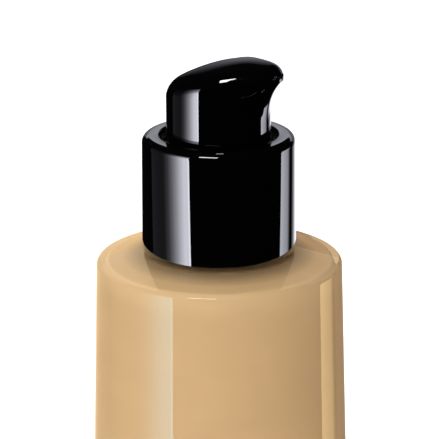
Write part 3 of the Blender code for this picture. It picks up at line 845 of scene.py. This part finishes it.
def softbox(name, place, size, brightness, only, colour=(1, 1, 1), across=EVEN, upwards=EVEN):
    """A panel that shows only in the glossy surfaces of the named pieces.

    Its place is (turn from the camera's side, rise) and its size is (width, height), in degrees.
    Across and upwards are stops of (share of the way, share of the brightness).
    """
    studio = bpy.context.scene.studio
    target = Vector((0, 0, studio.target_height))
    way = way_to(studio.turn + math.radians(place[0]), math.radians(place[1]))
    width, height = (2 * math.tan(math.radians(side) / 2) for side in size)
    bpy.ops.object.light_add(type="AREA")
    lamp = bpy.context.object
    light = lamp.data
    lamp.name = light.name = name
    aim(lamp, target + way, target)
    light.shape, light.size, light.size_y = "RECTANGLE", width, height
    light.energy = brightness * math.pi * width * height
    light.color = colour
    lamp.visible_camera = lamp.visible_diffuse = lamp.visible_transmission = False
    light.use_nodes = True
    tree = light.node_tree
    tree.nodes.clear()
    where = add(tree, "ShaderNodeNewGeometry").outputs["Parametric"]
    sides = add(tree, "ShaderNodeSeparateXYZ", [(0, where)]).outputs
    levels = []
    for i, stops in enumerate((across, upwards)):
        ramp = add(tree, "ShaderNodeValToRGB", [(0, sides[i])])
        elements = ramp.color_ramp.elements
        elements.remove(elements[1])
        for k, (share, level) in enumerate(stops):
            stop = elements.new(share) if k else elements[0]
            stop.position, stop.color = share, (level, level, level, 1)
        levels.append((i, ramp.outputs[0]))
    level = add(tree, "ShaderNodeMath", levels, operation="MULTIPLY")
    glow = add(tree, "ShaderNodeEmission", [("Strength", level.outputs[0])])
    add(tree, "ShaderNodeOutputLight", [(0, glow.outputs[0])])
    lit = bpy.data.collections.new(name + "_lit")
    for piece in only:
        lit.objects.link(bpy.data.objects[piece])
    lamp.light_linking.receiver_collection = lit


def lay_floor():
    """A round floor of paper, which only the camera sees."""
    disc = {"vertices": 96, "radius": 2.5, "fill_type": "NGON"}
    made = start("floor", bpy.ops.mesh.primitive_circle_add, **disc)
    bpy.ops.object.mode_set(mode="OBJECT")
    made.data.materials.append(studio_paper())
    made.visible_glossy = made.visible_diffuse = made.visible_transmission = False


def light_room(scene):
    """The room: white to the camera, graded light for matt surfaces, and dark in a mirror."""
    world = bpy.data.worlds.new("studio")
    scene.world = world
    world.use_nodes = True
    tree = world.node_tree
    tree.nodes.clear()
    ray = add(tree, "ShaderNodeLightPath").outputs
    place = add(tree, "ShaderNodeTexCoord").outputs["Generated"]
    bright_side = way_to(scene.studio.turn + math.radians(-70), 0)
    ends = [(0, place), (1, bright_side)]
    facing = add(tree, "ShaderNodeVectorMath", ends, operation="DOT_PRODUCT").outputs["Value"]
    ends = [("Value", facing), ("From Min", -1), ("From Max", 0)]
    room = add(tree, "ShaderNodeMapRange", ends, interpolation_type="SMOOTHSTEP").outputs[0]
    ends = [("Factor", room), (6, (0.1, 0.08, 0.07, 1)), (7, (1, 1, 1, 1))]
    tint = add(tree, "ShaderNodeMix", ends, data_type="RGBA").outputs[2]
    # what a ray sees once it has been mirrored inside the glass has the liquid's tint
    tinted = (*[0.8 * c for c in scene.finishes.liquid], 1)
    colours = (tint, (0.002, 0.002, 0.0022, 1), tinted, (1, 1, 1, 1))
    lights = [add(tree, "ShaderNodeBackground", [("Color", shown)]) for shown in colours]
    lights[0].inputs["Strength"].default_value = scene.studio.ambience
    soft, dark, warm, white = (light.outputs[0] for light in lights)
    ends = [(0, ray["Is Glossy Ray"]), (1, ray["Is Transmission Ray"])]
    mirrored = add(tree, "ShaderNodeMath", ends, operation="SUBTRACT", use_clamp=True).outputs[0]
    ends = [(0, ray["Transmission Depth"]), (1, 1)]
    inside = add(tree, "ShaderNodeMath", ends, operation="MINIMUM").outputs[0]
    met = add(tree, "ShaderNodeMixShader", [(0, inside), (1, dark), (2, warm)]).outputs[0]
    unseen = add(tree, "ShaderNodeMixShader", [(0, mirrored), (1, soft), (2, met)]).outputs[0]
    ends = [(0, ray["Is Camera Ray"]), (1, unseen), (2, white)]
    seen = add(tree, "ShaderNodeMixShader", ends).outputs[0]
    add(tree, "ShaderNodeOutputWorld", [(0, seen)])


def hang_panels():
    """The panels that show in the black mouldings and the glass, each with its own stops."""
    glass, collar, head = ("glass_bottle_body",), ("collar_moulding",), ("actuator_moulding",)
    cool, gold, amber = (0.98, 0.98, 1.1), (1, 0.8, 0.55), (1, 0.7, 0.4)

    # a wide softbox on the left that brightens towards its near edge
    place, size = (-82.5, -2), (75, 74)
    near = [(0, 0), (0.018, 0.0073), (0.355, 0.007), (0.414, 0.0088), (0.506, 0.038)]
    near += [(0.586, 0.118), (0.681, 0.288), (0.77, 0.521), (0.86, 0.73), (0.955, 0.74), (0.965, 1)]
    high, low = [(0.6, 1), (1, 0)], [(0.35, 1), (0.41, 0.5), (0.72, 0)]
    softbox("left_softbox", place, size, 7.8, collar, cool, near, high)
    softbox("left_softbox_head", place, size, 7.8, head, cool, near, low)
    softbox("left_softbox_glass", (-81, -2), size, 6.1, glass, (0.38, 0.95, 1.1), near, high)

    # a narrow strip on the right, and a rim behind it
    place, size = (119.5, -16), (25, 24)
    strip = [(0, 1), (0.4, 0.6), (0.72, 0.38), (0.86, 0.13), (1, 0)]
    rim = [(0, 0.1), (0.2, 0.35), (0.4, 1)]
    softbox("right_strip", place, size, 2.6, collar + head, cool, strip)
    softbox("right_strip_glass", place, size, 2.6, glass, (1.6, 1.15, 0.57), strip)
    softbox("rim_panel", (162, -16), (38, 24), 1.2, collar + head, cool, rim)

    # cards that give the glass its golden sides and its bright shoulder
    softbox("left_card", (-150, -14), (58, 60), 1.2, glass, amber, [(0.2, 1), (1, 0)])
    softbox("right_card", (157, -14), (44, 60), 0.38, glass, (1, 0.7, 0.45))
    softbox("left_high_card", (-150, 31), (58, 30), 1.1, glass, gold, [(0.2, 1), (1, 0.45)])
    softbox("right_high_card", (150, 31), (58, 30), 0.9, glass, gold, [(0.2, 1), (1, 0.6)])

    # the backdrop in the rounded tops, and two lights overhead
    behind, over = [(0.64, 0.3), (0.8, 1), (0.83, 1), (0.93, 0)], [(0.5, 1), (0.93, 0)]
    softbox("backdrop", (172, 9.5), (50, 25), 0.6, collar, cool, upwards=behind)
    softbox("head_backdrop", (166, 7), (44, 22), 0.25, head, cool, [(0.7, 1), (1, 0)], over)
    softbox("top_softbox", (-20, 52), (22, 9), 12, collar + glass)
    softbox("head_softbox", (3, 52), (13, 16), 14, head)


def place_camera(scene):
    """A long lens, a little over level, that looks at the shoulder and the pump."""
    s = scene.studio
    bpy.ops.object.camera_add()
    camera = bpy.context.object
    camera.name = camera.data.name = "camera"
    camera.data.lens, camera.data.sensor_width = s.focal, 36
    camera.data.clip_start, camera.data.clip_end = 0.05, 10
    right = Vector((math.cos(s.turn), math.sin(s.turn), 0))
    target = Vector((0, 0, s.target_height)) + right * s.target_side
    aim(camera, target + way_to(s.turn, s.rise) * s.distance, target, s.roll)
    scene.camera = camera


class FOUNDATION_OT_stage(bpy.types.Operator):
    """Sets up the floor, the light and the camera"""

    bl_idname = "foundation.stage"
    bl_label = "Stage"

    def execute(self, context):
        context.scene.view_settings.view_transform = "Standard"
        lay_floor()
        light_room(context.scene)
        hang_panels()
        place_camera(context.scene)
        return {"FINISHED"}


class FOUNDATION_PT_panel(bpy.types.Panel):
    """Buttons for every piece, and the sizes and colours they use"""

    bl_idname = "FOUNDATION_PT_panel"
    bl_label = "Foundation Bottle"
    bl_space_type = "VIEW_3D"
    bl_region_type = "UI"
    bl_category = "Foundation Bottle"

    def draw(self, context):
        for name in STEPS:
            self.layout.operator(f"foundation.{name}")
        for group in GROUPS:
            held = getattr(context.scene, group)
            box = self.layout.box()
            for key in held.__annotations__:
                box.prop(held, key)


GROUPS = {
    "bottle_sizes": BottleSizes,
    "pump_sizes": PumpSizes,
    "finishes": Finishes,
    "studio": StudioSettings,
}
STEPS = ("finishes", "glass", "liquid", "label", "collar", "head", "nozzle", "spring", "stage")
CLASSES = (
    *GROUPS.values(),
    FOUNDATION_OT_finishes,
    FOUNDATION_OT_glass,
    FOUNDATION_OT_liquid,
    FOUNDATION_OT_label,
    FOUNDATION_OT_collar,
    FOUNDATION_OT_head,
    FOUNDATION_OT_nozzle,
    FOUNDATION_OT_spring,
    FOUNDATION_OT_stage,
    FOUNDATION_PT_panel,
)


def register():
    for item in CLASSES:
        bpy.utils.register_class(item)
    for name, group in GROUPS.items():
        setattr(bpy.types.Scene, name, PointerProperty(type=group))


def unregister():
    for name in GROUPS:
        delattr(bpy.types.Scene, name)
    for item in reversed(CLASSES):
        bpy.utils.unregister_class(item)


def main():
    register()
    for step in STEPS:
        getattr(bpy.ops.foundation, step)()


if __name__ == "__main__":
    main()
